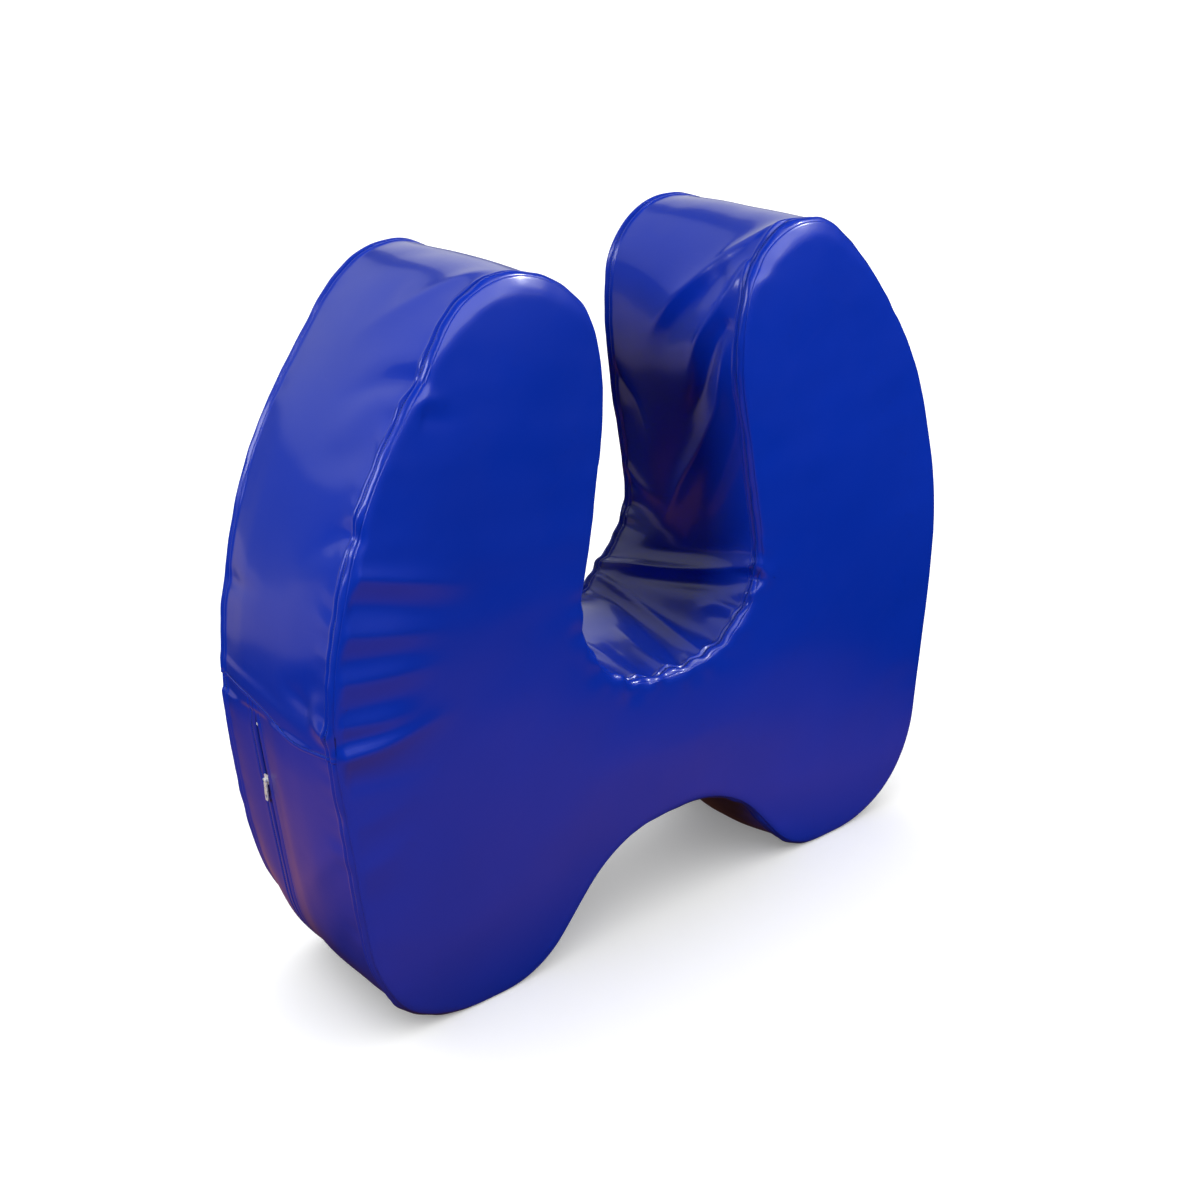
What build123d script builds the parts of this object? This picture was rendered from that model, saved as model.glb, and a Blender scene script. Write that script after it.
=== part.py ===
"""A foam gymnastics block in a sewn vinyl cover.

Two rounded lobes stand on two feet, with a keyhole notch between the lobes and an arch
between the feet. The cover is a front panel, a back panel, an upper band and a lower band
that a coil zip splits in two. X is the width, Y the depth (the front is at -Y) and Z is up.
The origin is on the floor, at the middle of the block.
"""

import os

from build123d import *

# Driving dimensions, in millimetres.
DEPTH = 300
VINYL = 1.0  # thickness of the cover sheet
LAP_EDGE = 443  # lower edge of the upper band's hem, which laps over the lower band
LAP_TOP = 475  # upper edge of that hem
LOWER_TOP = 465  # upper edge of the lower band, hidden under the hem
NOTCH_CLEAR = (250, 300)  # half width and lower edge of the region that holds only the notch

ZIP_Y = 55  # the zip runs a little behind the middle of the band
ZIP_TOP = 426  # both ends of the zip's slit
SLIT = 8.0
TAPE_WIDTH = 17.0  # each side of the zip's middle
TAPE = 0.6
COIL_GAP = 1.6  # between the two coils, for the slider's post
COIL_WIDTH = 2.6
COIL = 2.0
STOP_LENGTH = 4.0

THREAD = 1.0  # width of a row of stitches
THREAD_SINK = 0.5  # how deep it lies in the vinyl
TOPSTITCH_INSET = 12  # from the seam between panel and band
ZIP_STITCH = 11  # from the zip's middle
LAP_STITCH = 6  # above the hem's edge

SLIDER_Z = 337
SLIDER_LENGTH = 14.0
SLIDER_WIDTH = 11.0
PLATE = 1.4
SLIDER_LIFT = 0.3  # top plate above the vinyl
SLIDER_UP = 60  # travel along the zip, each way
SLIDER_DOWN = 155
PIN_RADIUS = 0.9
PIN_LIFT = 3.8  # pin's axis above the vinyl
KNUCKLE_RADIUS = 1.8
KNUCKLE_WIDTH = 4.8
EAR = 1.0
PULL_LENGTH = 31.0
PULL_WIDTH = 7.5
PULL = 1.6
RUNNING_FIT = 0.05
CORE_GAP = 0.2  # foam clear of the zip's tapes and coils

# Right half of the block's silhouette: the corners of a polygon, then the arc at each.
HALF_CORNERS = [
    (0, 171),  # crown of the arch
    (110, 171),  # shoulder of the arch
    (255, 0),  # inner edge of the foot
    (516, 0),  # outer edge of the foot
    (566, 515),  # hip, the widest place
    (500, 750),  # outer shoulder
    (325, 1000),  # top of the lobe, outer side
    (155, 1000),  # top of the lobe, inner side
    (118, 834),  # neck of the notch
    (168, 555),  # widest place of the notch
    (172, 393),  # lower corner of the notch
    (0, 393),  # bottom of the notch
]
HALF_RADII = [195, 130, 175, 600, 600, 130, 125, 330, 110, 140]


def silhouette(inset):
    """The block seen from the front, drawn in by inset."""
    with BuildSketch() as shape:
        with BuildLine():
            FilletPolyline(HALF_CORNERS, radius=HALF_RADII)
            mirror(about=Plane.YZ)
        make_face()
        if inset:
            offset(amount=-inset)
    return shape.sketch


def band(outside, inside):
    """A strip round the whole silhouette, between two insets."""
    outer = silhouette(outside)
    inner = silhouette(inside)
    with BuildSketch() as strip:
        add(outer)
        add(inner, mode=Mode.SUBTRACT)
    return strip.sketch


def low_zone(top):
    """Everything below a height, without the notch."""
    half_width, notch_from = NOTCH_CLEAR
    with BuildSketch() as zone:
        with Locations((0, top)):
            Rectangle(2000, 1000, align=(Align.CENTER, Align.MAX))
        with Locations((0, notch_from)):
            Rectangle(2 * half_width, 1000, align=(Align.CENTER, Align.MIN), mode=Mode.SUBTRACT)
    return zone.sketch


def low_band(outside, inside, top):
    """The part of a strip that lies in the low zone."""
    strip = band(outside, inside)
    zone = low_zone(top)
    with BuildSketch() as piece:
        add(strip)
        add(zone, mode=Mode.INTERSECT)
    return piece.sketch


def difference(whole, cut):
    """One flat shape without another."""
    with BuildSketch() as piece:
        add(whole)
        add(cut, mode=Mode.SUBTRACT)
    return piece.sketch


def from_y(y):
    """The upright plane at a depth, on which an extrusion runs to the back."""
    return Plane(origin=(0, y, 0), x_dir=(1, 0, 0), z_dir=(0, -1, 0))


def finish(piece, name):
    """Label a piece and write it."""
    piece.part.label = name
    export_step(piece.part, f"parts/{name}.step")


os.makedirs("parts", exist_ok=True)

FRONT = -DEPTH / 2
BACK = DEPTH / 2
STITCH_ROWS = {"front": FRONT + TOPSTITCH_INSET, "back": BACK - TOPSTITCH_INSET}

skin = band(0, VINYL)
lower_skin = low_band(0, VINYL, LOWER_TOP)
upper_skin = difference(skin, lower_skin)
hem = difference(low_band(-VINYL, 0, LAP_TOP), low_band(-VINYL, 0, LAP_EDGE))
slit_zone = low_band(0, VINYL, ZIP_TOP)
row = band(0, THREAD_SINK)
low_row = low_band(0, THREAD_SINK, LAP_EDGE)
lap_line = LAP_EDGE + LAP_STITCH
lap_row = difference(
    low_band(-VINYL, THREAD_SINK - VINYL, lap_line + THREAD / 2),
    low_band(-VINYL, THREAD_SINK - VINYL, lap_line - THREAD / 2),
)


def half_box(side):
    """Everything on one side of the block: -1 for the left, 1 for the right."""
    with BuildPart() as room:
        with Locations((side * 500, 0, 500)):
            Box(1000, 2 * DEPTH, 1200)
    return room.part


# Threads, which lie sunk in the vinyl
topstitches = {}
for place, y in STITCH_ROWS.items():
    with BuildPart() as topstitch:
        with BuildSketch(from_y(y - THREAD / 2)):
            add(row)
        extrude(amount=-THREAD)
    topstitches[place] = topstitch
    finish(topstitch, f"topstitch_{place}")

zip_stitches = {}
for place, y in {"front": ZIP_Y - ZIP_STITCH, "back": ZIP_Y + ZIP_STITCH}.items():
    with BuildPart() as zip_stitch:
        with BuildSketch(from_y(y - THREAD / 2)):
            add(low_row)
        extrude(amount=-THREAD)
    zip_stitches[place] = zip_stitch
    finish(zip_stitch, f"zip_stitch_{place}")

lap_stitches = {}
for place, side in {"left": -1, "right": 1}.items():
    kept = half_box(side)
    with BuildPart() as lap_stitch:
        with BuildSketch(from_y(STITCH_ROWS["front"] + THREAD / 2)):
            add(lap_row)
        extrude(amount=-(DEPTH - 2 * TOPSTITCH_INSET - THREAD))
        add(kept, mode=Mode.INTERSECT)
    lap_stitches[place] = lap_stitch
    finish(lap_stitch, f"lap_stitch_{place}")

# Cover: two flat panels inside the ends of the band
inner_face = silhouette(VINYL)
for name, y in {"front_panel": FRONT, "back_panel": BACK - VINYL}.items():
    with BuildPart() as panel:
        with BuildSketch(from_y(y)):
            add(inner_face)
        extrude(amount=-VINYL)
    finish(panel, name)

# Cover: upper band, over the lobes and down the notch, with a hem at each side
with BuildPart() as upper_band:
    with BuildSketch(from_y(FRONT)):
        add(upper_skin)
        add(hem)
    extrude(amount=-DEPTH)
    add(topstitches["front"].part, mode=Mode.SUBTRACT)
    add(topstitches["back"].part, mode=Mode.SUBTRACT)
    add(lap_stitches["left"].part, mode=Mode.SUBTRACT)
    add(lap_stitches["right"].part, mode=Mode.SUBTRACT)
finish(upper_band, "upper_band")

# Cover: lower band, in two strips with the zip's slit between them
for place, (y, width, slit_y) in {
    "front": (FRONT, ZIP_Y - FRONT, ZIP_Y - SLIT / 2),
    "back": (ZIP_Y, BACK - ZIP_Y, ZIP_Y),
}.items():
    with BuildPart() as lower_band:
        with BuildSketch(from_y(y)):
            add(lower_skin)
        extrude(amount=-width)
        with BuildSketch(from_y(slit_y)):
            add(slit_zone)
        extrude(amount=-SLIT / 2, mode=Mode.SUBTRACT)
        add(topstitches[place].part, mode=Mode.SUBTRACT)
        add(zip_stitches[place].part, mode=Mode.SUBTRACT)
    finish(lower_band, f"lower_band_{place}")

# Zip: a tape and a coil on each side, under the vinyl
tape_strip = low_band(VINYL, VINYL + TAPE, LAP_EDGE)
coil_strip = low_band(VINYL + TAPE, VINYL + TAPE + COIL, ZIP_TOP - 2 * STOP_LENGTH)
stop_strip = difference(
    low_band(VINYL + TAPE, VINYL + TAPE + COIL, ZIP_TOP - STOP_LENGTH),
    coil_strip,
)
for place, direction in {"front": -1, "back": 1}.items():
    start = ZIP_Y + direction * COIL_GAP / 2
    with BuildPart() as tape:
        with BuildSketch(from_y(start)):
            add(tape_strip)
        extrude(amount=-direction * (TAPE_WIDTH - COIL_GAP / 2))
    finish(tape, f"zip_tape_{place}")
    with BuildPart() as coil:
        with BuildSketch(from_y(start)):
            add(coil_strip)
        extrude(amount=-direction * COIL_WIDTH)
    finish(coil, f"zip_coil_{place}")

# Zip: one stop across each end of the coils
for name, side in {"zip_top_stop": -1, "zip_bottom_stop": 1}.items():
    kept = half_box(side)
    with BuildPart() as stop:
        with BuildSketch(from_y(ZIP_Y - COIL_GAP / 2 - COIL_WIDTH)):
            add(stop_strip)
        extrude(amount=-(COIL_GAP + 2 * COIL_WIDTH))
        add(kept, mode=Mode.INTERSECT)
    finish(stop, name)

# The slider's own plane on the left side: x up along the zip, z straight out of the vinyl
hip_line = Vector(HALF_CORNERS[4]) - Vector(HALF_CORNERS[3])
slope = hip_line.X / hip_line.Y
foot_x = HALF_CORNERS[3][0]
zip_up = Vector(-slope, 0, 1).normalized()
zip_out = Vector(-1, 0, -slope).normalized()
slider_place = Vector(-(foot_x + slope * SLIDER_Z), ZIP_Y, SLIDER_Z)


def slider_plane(lift, along=0.0):
    """The slider's plane at a height over the vinyl and a distance up the zip."""
    return Plane(origin=slider_place + zip_out * lift + zip_up * along, x_dir=zip_up, z_dir=zip_out)


# Zip: slider with two plates, a post between the coils and two ears with a pin
plate_floor = -(VINYL + TAPE + COIL + SLIDER_LIFT)
ear_inside = KNUCKLE_WIDTH / 2 + 0.2
pin_centre = slider_plane(PIN_LIFT).origin
pin_section = Plane(origin=pin_centre, x_dir=(1, 0, 0), z_dir=(0, -1, 0))
with BuildPart() as zip_slider:
    with BuildSketch(slider_plane(SLIDER_LIFT)):
        Trapezoid(SLIDER_WIDTH, SLIDER_LENGTH, 83, rotation=90)
    extrude(amount=PLATE)
    with BuildSketch(slider_plane(plate_floor)):
        Trapezoid(SLIDER_WIDTH, SLIDER_LENGTH, 83, rotation=90)
    extrude(amount=-PLATE)
    plate_corners = zip_slider.edges().filter_by(Axis(slider_place, zip_out))
    fillet(plate_corners, 1.6)
    with BuildSketch(slider_plane(plate_floor)):
        with Locations((SLIDER_LENGTH / 4, 0)):
            SlotOverall(4.5, COIL_GAP - 0.4)
    extrude(amount=SLIDER_LIFT - plate_floor)
    for direction in (-1, 1):  # the ear's plane has its y axis inwards, then outwards
        ear_plane = Plane(
            origin=slider_place + Vector(0, direction * ear_inside, 0),
            x_dir=zip_up,
            z_dir=(0, direction, 0),
        )
        with BuildSketch(ear_plane):
            with Locations((0, -direction * PIN_LIFT)):
                Circle(KNUCKLE_RADIUS)
            with Locations((0, -direction * (PIN_LIFT + SLIDER_LIFT) / 2)):
                Rectangle(2 * KNUCKLE_RADIUS, PIN_LIFT - SLIDER_LIFT)
        extrude(amount=EAR)
    with BuildSketch(pin_section):
        Circle(PIN_RADIUS)
    extrude(amount=ear_inside, both=True)
finish(zip_slider, "zip_slider")

# Zip: pull tab, which hangs plumb from the pin
tab_from = KNUCKLE_RADIUS + 1.4
pull_side = Plane(origin=pin_centre, x_dir=(0, 1, 0), z_dir=(1, 0, 0))
with BuildPart() as zip_pull:
    with BuildSketch(pin_section):
        Circle(KNUCKLE_RADIUS)
    extrude(amount=KNUCKLE_WIDTH / 2, both=True)
    with BuildSketch(pull_side):
        with Locations((0, -tab_from / 2)):
            Rectangle(KNUCKLE_WIDTH, tab_from)
        with Locations((0, -(tab_from + PULL_LENGTH) / 2)):
            RectangleRounded(PULL_WIDTH, PULL_LENGTH - tab_from, 2.2)
        with Locations((0, -PULL_LENGTH + 6)):
            SlotOverall(7, 3, rotation=90, mode=Mode.SUBTRACT)
    extrude(amount=PULL / 2, both=True)
    with BuildSketch(pin_section):
        Circle(PIN_RADIUS + RUNNING_FIT)
    extrude(amount=KNUCKLE_WIDTH, both=True, mode=Mode.SUBTRACT)
finish(zip_pull, "zip_pull")

# Foam core, with a shallow channel behind the zip and a deeper one where the slider runs
tape_room = low_band(VINYL, VINYL + TAPE + CORE_GAP, LAP_EDGE + 2)
coil_room = low_band(VINYL, VINYL + TAPE + COIL + CORE_GAP, LAP_EDGE + 2)
slider_room = PLATE - plate_floor + 3 * CORE_GAP
run_length = SLIDER_UP + SLIDER_DOWN + SLIDER_LENGTH + 6
with BuildPart() as foam_core:
    with BuildSketch(from_y(FRONT + VINYL)):
        add(inner_face)
    extrude(amount=-(DEPTH - 2 * VINYL))
    with BuildSketch(from_y(ZIP_Y - TAPE_WIDTH - 1)):
        add(tape_room)
    extrude(amount=-2 * (TAPE_WIDTH + 1), mode=Mode.SUBTRACT)
    with BuildSketch(from_y(ZIP_Y - COIL_GAP / 2 - COIL_WIDTH - 1)):
        add(coil_room)
    extrude(amount=-2 * (COIL_GAP / 2 + COIL_WIDTH + 1), mode=Mode.SUBTRACT)
    with BuildSketch(slider_plane(0, (SLIDER_UP - SLIDER_DOWN) / 2)):
        Rectangle(run_length, SLIDER_WIDTH + 3)
    extrude(amount=-slider_room, mode=Mode.SUBTRACT)
finish(foam_core, "foam_core")
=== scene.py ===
"""Looks for the foam gymnastics block: its sewn, zipped vinyl cover around the CAD frame.

Metres, +Z up, the front panel at -Y. A place on the band is (s, y): s runs along the block's
silhouette from the crown of the arch, over the right foot, the right lobe, the notch, the left
lobe and the left foot back to the arch. A place on a panel is (x, z).
"""

import math

import bpy
import numpy as np
from mathutils import Matrix, Vector
from mathutils.geometry import delaunay_2d_cdt
from mathutils.kdtree import KDTree


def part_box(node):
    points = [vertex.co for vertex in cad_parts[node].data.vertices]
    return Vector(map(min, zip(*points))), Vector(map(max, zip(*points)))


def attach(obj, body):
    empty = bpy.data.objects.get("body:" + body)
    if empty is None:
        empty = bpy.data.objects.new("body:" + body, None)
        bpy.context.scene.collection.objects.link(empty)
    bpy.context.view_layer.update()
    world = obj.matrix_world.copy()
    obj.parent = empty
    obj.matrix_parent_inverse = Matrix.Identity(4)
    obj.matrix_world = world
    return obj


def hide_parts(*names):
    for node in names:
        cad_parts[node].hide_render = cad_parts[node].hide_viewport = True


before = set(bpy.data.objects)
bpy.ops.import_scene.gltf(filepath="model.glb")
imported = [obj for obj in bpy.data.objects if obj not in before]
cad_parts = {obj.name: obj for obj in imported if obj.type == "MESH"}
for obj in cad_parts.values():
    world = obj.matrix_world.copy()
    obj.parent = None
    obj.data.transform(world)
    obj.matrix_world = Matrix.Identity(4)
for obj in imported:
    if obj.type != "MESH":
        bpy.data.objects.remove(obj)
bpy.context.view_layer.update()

MM = 0.001
PANEL_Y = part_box("front_panel")[0].y  # the front panel's outer face
HALF_DEPTH = -PANEL_Y
ZIP_Y = (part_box("zip_slider")[0].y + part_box("zip_slider")[1].y) / 2
SLIDER_Z = (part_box("zip_slider")[0].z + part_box("zip_slider")[1].z) / 2
HEM_Z = 443 * MM

# ---------------------------------------------------------------- silhouette

HALF_CORNERS = [
    (0, 0.171), (0.110, 0.171), (0.255, 0), (0.516, 0), (0.566, 0.515), (0.500, 0.750),
    (0.325, 1.0), (0.155, 1.0), (0.118, 0.834), (0.168, 0.555), (0.172, 0.393), (0, 0.393),
]
HALF_RADII = [0.195, 0.130, 0.175, 0.600, 0.600, 0.130, 0.125, 0.330, 0.110, 0.140]
STEP = 0.5 * MM


def half_outline():
    """The filleted polygon of the right half, as closely spaced points."""
    corners = np.array(HALF_CORNERS, float)
    points = [corners[0]]
    for i, radius in enumerate(HALF_RADII, start=1):
        into = corners[i - 1] - corners[i]
        out = corners[i + 1] - corners[i]
        into /= np.hypot(*into)
        out /= np.hypot(*out)
        half_angle = math.acos(into @ out) / 2
        start = corners[i] + into * radius / math.tan(half_angle)
        end = corners[i] + out * radius / math.tan(half_angle)
        middle = (into + out) / np.hypot(*(into + out))
        centre = corners[i] + middle * radius / math.sin(half_angle)
        first = math.atan2(*(start - centre)[::-1])
        turn = (math.atan2(*(end - centre)[::-1]) - first + math.pi) % (2 * math.pi) - math.pi
        for k in range(65):
            angle = first + turn * k / 64
            points.append(centre + radius * np.array([math.cos(angle), math.sin(angle)]))
    points.append(corners[-1])
    return np.array(points)


def smooth_ring(values, spread):
    """A closed curve's samples, blurred by a Gaussian of that many samples."""
    wave = np.fft.rfftfreq(len(values))
    gain = np.exp(-2 * (math.pi * wave * spread) ** 2)
    return np.fft.irfft(np.fft.rfft(values, axis=0) * gain[:, None], len(values), axis=0)


half = half_outline()
ring = np.vstack([half, (half * [-1, 1])[::-1][1:]])
reach = np.r_[0, np.cumsum(np.hypot(*np.diff(ring, axis=0).T))]
LENGTH = reach[-1]
RING_COUNT = int(round(LENGTH / STEP))
ring_s = np.arange(RING_COUNT) * LENGTH / RING_COUNT
ring_xz = np.column_stack([np.interp(ring_s, reach, ring[:, k]) for k in (0, 1)])
ring_xz = smooth_ring(ring_xz, 12 * MM / STEP)
ring_xz[:, 1] -= ring_xz[:, 1].min()
ring_t = np.roll(ring_xz, -1, 0) - np.roll(ring_xz, 1, 0)
ring_t /= np.hypot(*ring_t.T)[:, None]
ring_n = np.column_stack([ring_t[:, 1], -ring_t[:, 0]])


def on_ring(table, s):
    """A ring table read at s, wrapped round."""
    places = np.append(ring_s, LENGTH)
    wrapped = np.vstack([table, table[:1]])
    flat = np.mod(s, LENGTH)
    return np.stack([np.interp(flat, places, wrapped[:, k]) for k in (0, 1)], axis=-1)


def ring_at(x, z):
    """The s of the ring's nearest point to (x, z)."""
    return ring_s[np.argmin((ring_xz[:, 0] - x) ** 2 + (ring_xz[:, 1] - z) ** 2)]


# ---------------------------------------------------------------- small shape functions

def seam_distance(points):
    """How far inside the silhouette each (x, z) is, and the s of the edge nearest to it."""
    sample = ring_xz[::6]
    normal = ring_n[::6]
    tree = KDTree(len(sample))
    for i, (x, z) in enumerate(sample):
        tree.insert((x, z, 0), i)
    tree.balance()
    distance = np.empty(len(points))
    nearest = np.empty(len(points), int)
    for k, (x, z) in enumerate(points):
        _, nearest[k], distance[k] = tree.find((x, z, 0))
    side = np.sum((points - sample[nearest]) * normal[nearest], axis=1)
    return np.where(side > 0, -distance, distance), ring_s[::6][nearest]


def spaced(start, end, step):
    """Values from start to end, evenly spaced at about step."""
    return np.linspace(start, end, max(2, int(round((end - start) / step)) + 1))


def bell(d, width):
    """1 at d = 0, falling smoothly over width."""
    return np.exp(-((d / width) ** 2))


def ramp(d, start, end):
    """0 before start, 1 past end, smooth between."""
    t = np.clip((d - start) / (end - start), 0, 1)
    return t * t * (3 - 2 * t)


def window(d, start, end, edge):
    """1 between start and end, with soft edges."""
    return ramp(d, start - edge, start + edge) * (1 - ramp(d, end - edge, end + edge))


def wander(s, seed, wavelength):
    """A closed random curve in s, about -1 to 1, with waves of about that length."""
    rng = np.random.RandomState(seed)
    total = np.zeros_like(s, dtype=float)
    base = LENGTH / wavelength
    for factor in (0.6, 0.8, 1.0, 1.3, 1.7):
        turns = max(1, round(base * factor))
        total += np.sin(2 * math.pi * (turns * s / LENGTH + rng.rand())) * (0.5 + rng.rand())
    return total / 2.6


def rumple(u, v, seed, size):
    """A random rolling surface over (u, v), about -1 to 1, with waves of about that size."""
    rng = np.random.RandomState(seed)
    total = np.zeros(np.broadcast(u, v).shape)
    for _ in range(9):
        heading = rng.rand() * math.pi
        wave = 2 * math.pi / (size * (0.6 + 0.9 * rng.rand()))
        phase = rng.rand() * 2 * math.pi
        total += np.sin(wave * (u * math.cos(heading) + v * math.sin(heading)) + phase)
    return total / 4


def fold(u, v, width, height, sharp, fade_in, fade_out, points):
    """A crease along a curve through points: how far it stands out at (u, v), in metres.

    Its own sizes and points are in millimetres. sharp below 1 makes the crest narrower than its
    feet. The fades are the shares of the curve, at start and end, over which it dies away.
    """
    width = width * MM
    knots = np.array(points) * MM
    t = np.linspace(0, 1, 8 * len(knots))
    at = np.linspace(0, 1, len(knots))
    path = np.column_stack([np.interp(t, at, knots[:, k]) for k in (0, 1)])
    if len(knots) > 2:
        for _ in range(6):
            path[1:-1] = (path[:-2] + 2 * path[1:-1] + path[2:]) / 4
    near = (u > path[:, 0].min() - 3 * width) & (u < path[:, 0].max() + 3 * width)
    near &= (v > path[:, 1].min() - 3 * width) & (v < path[:, 1].max() + 3 * width)
    result = np.zeros(u.shape)
    if not near.any():
        return result
    pu, pv = u[near], v[near]
    best = np.full(pu.shape, 1e9)
    along = np.zeros(pu.shape)
    steps = np.hypot(*np.diff(path, axis=0).T)
    run = np.r_[0, np.cumsum(steps)]
    for i in range(len(path) - 1):
        du, dv = path[i + 1] - path[i]
        k = np.clip(((pu - path[i, 0]) * du + (pv - path[i, 1]) * dv) / (du * du + dv * dv), 0, 1)
        d = np.hypot(pu - path[i, 0] - k * du, pv - path[i, 1] - k * dv)
        closer = d < best
        best = np.where(closer, d, best)
        along = np.where(closer, (run[i] + k * steps[i]) / run[-1], along)
    strength = ramp(along, -0.02, fade_in) * (1 - ramp(along, 1 - fade_out, 1.02))
    shape = np.exp(-((best / width) ** (2 * sharp)))
    result[near] = height * MM * strength * shape
    return result


# ---------------------------------------------------------------- the cover's surface

RIGHT_HEM = ring_at(0.56, HEM_Z)
LEFT_HEM = LENGTH - RIGHT_HEM
NOTCH = LENGTH / 2
HELD_IN = 12 * MM  # from the seams, where the simulated cloth is held
STITCH_IN = 12.3 * MM  # from the seams to the top-stitching
LIP_STITCH = 10.5 * MM  # from the slit's edges to the zip's stitching
ON_FLOOR = 0.4 * MM  # the least height of the cover over the floor

# Where a seam stands in or out of the silhouette over a long stretch: (x, z), width, out, and
# the y at which the band starts to follow it
FRONT_LEANS = [
    ((-0.495, 0.012), 0.050, 6 * MM, 0.02), ((0.365, 0.975), 0.060, -8 * MM, 0.02),
    ((-0.13, 0.68), 0.160, 4 * MM, 0.02), ((0.49, 0.80), 0.120, 3.5 * MM, 0.02),
    ((-0.20, 0.985), 0.060, -4 * MM, 0.02),
]
BACK_LEANS = [
    ((0.135, 0.435), 0.115, 33 * MM, -0.10), ((-0.135, 0.435), 0.115, 24 * MM, -0.10),
    ((0.165, 0.975), 0.095, 14 * MM, -0.05), ((-0.370, 0.950), 0.130, -4 * MM, 0.0),
    ((-0.250, 1.000), 0.060, 4 * MM, 0.0), ((-0.555, 0.600), 0.210, -7 * MM, 0.072),
    ((0.130, 0.680), 0.100, 3 * MM, -0.05), ((-0.510, 0.085), 0.100, -23 * MM, 0.072),
    ((0.210, 0.060), 0.085, -13 * MM, 0.072),
]
# Where the front seam is pinched in: s, width, depth
SEAM_DENTS = [(3.41, 0.016, 3.5 * MM), (3.612, 0.014, 3.0 * MM), (1.752, 0.016, 3.0 * MM),
              (2.222, 0.012, 4.5 * MM), (3.873, 0.013, 2.5 * MM)]


def located(leans):
    """Leans with their places as s."""
    return [(ring_at(*place), width, out, start) for place, width, out, start in leans]


front_leans = located(FRONT_LEANS)
back_leans = located(BACK_LEANS)


def lean(s, y, back):
    """How far a seam's long leans move the cover out at (s, y)."""
    total = np.zeros(np.broadcast(s, y).shape)
    for place, width, out, start in back_leans if back else front_leans:
        share = ramp(y, start, HALF_DEPTH) if back else 1 - ramp(y, PANEL_Y, start)
        away = (s - place + LENGTH / 2) % LENGTH - LENGTH / 2
        total = total + out * bell(away, width) * share
    return total


def near_notch(s, half, edge=0.05):
    """1 within half of the notch's lowest point, with soft edges."""
    return window(s, NOTCH - half, NOTCH + half, edge)


def seam_path(s, back=False):
    """How the seam between panel and band wanders: (out of the outline, in from the panel)."""
    seed = 20 if back else 10
    z = on_ring(ring_xz, s)[..., 1]
    pucker = near_notch(s, 0.26)
    roll = 0.006 + 0.013 * ramp(z, 0.90, 0.985)
    out = 0.5 * MM * wander(s, seed, 0.33) + 1.5 * MM * pucker * wander(s, seed + 1, 0.062)
    inward = 0.45 * roll + 0.7 * MM * wander(s, seed + 2, 0.19)
    inward = inward + 1.8 * MM * pucker * wander(s, seed + 3, 0.055)
    if not back:
        for place, width, dent in SEAM_DENTS:
            out = out - dent * bell(s - place, width)
            inward = inward + 0.6 * dent * bell(s - place, width)
    return out, inward, roll


def seam_relief(q, s, back):
    """Height of the sewn edge of the band at distance q from the seam."""
    lively = 1 + (0.15 * wander(s, 32, 0.07) if back else 0.38 * wander(s, 31, 0.07))
    allowance = 0.8 * MM * (1 - ramp(q, 16 * MM, 21 * MM))
    near_ridge = 2.3 * MM * lively * bell(q - 6 * MM, 3.4 * MM)
    groove = -1.6 * MM * bell(q - STITCH_IN, 1.5 * MM)
    far_ridge = 1.3 * MM * lively * bell(q - 16 * MM, 2.2 * MM)
    seam = -3.8 * MM * np.exp(-q / (1.3 * MM))
    return allowance + near_ridge + groove + far_ridge + seam


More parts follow.
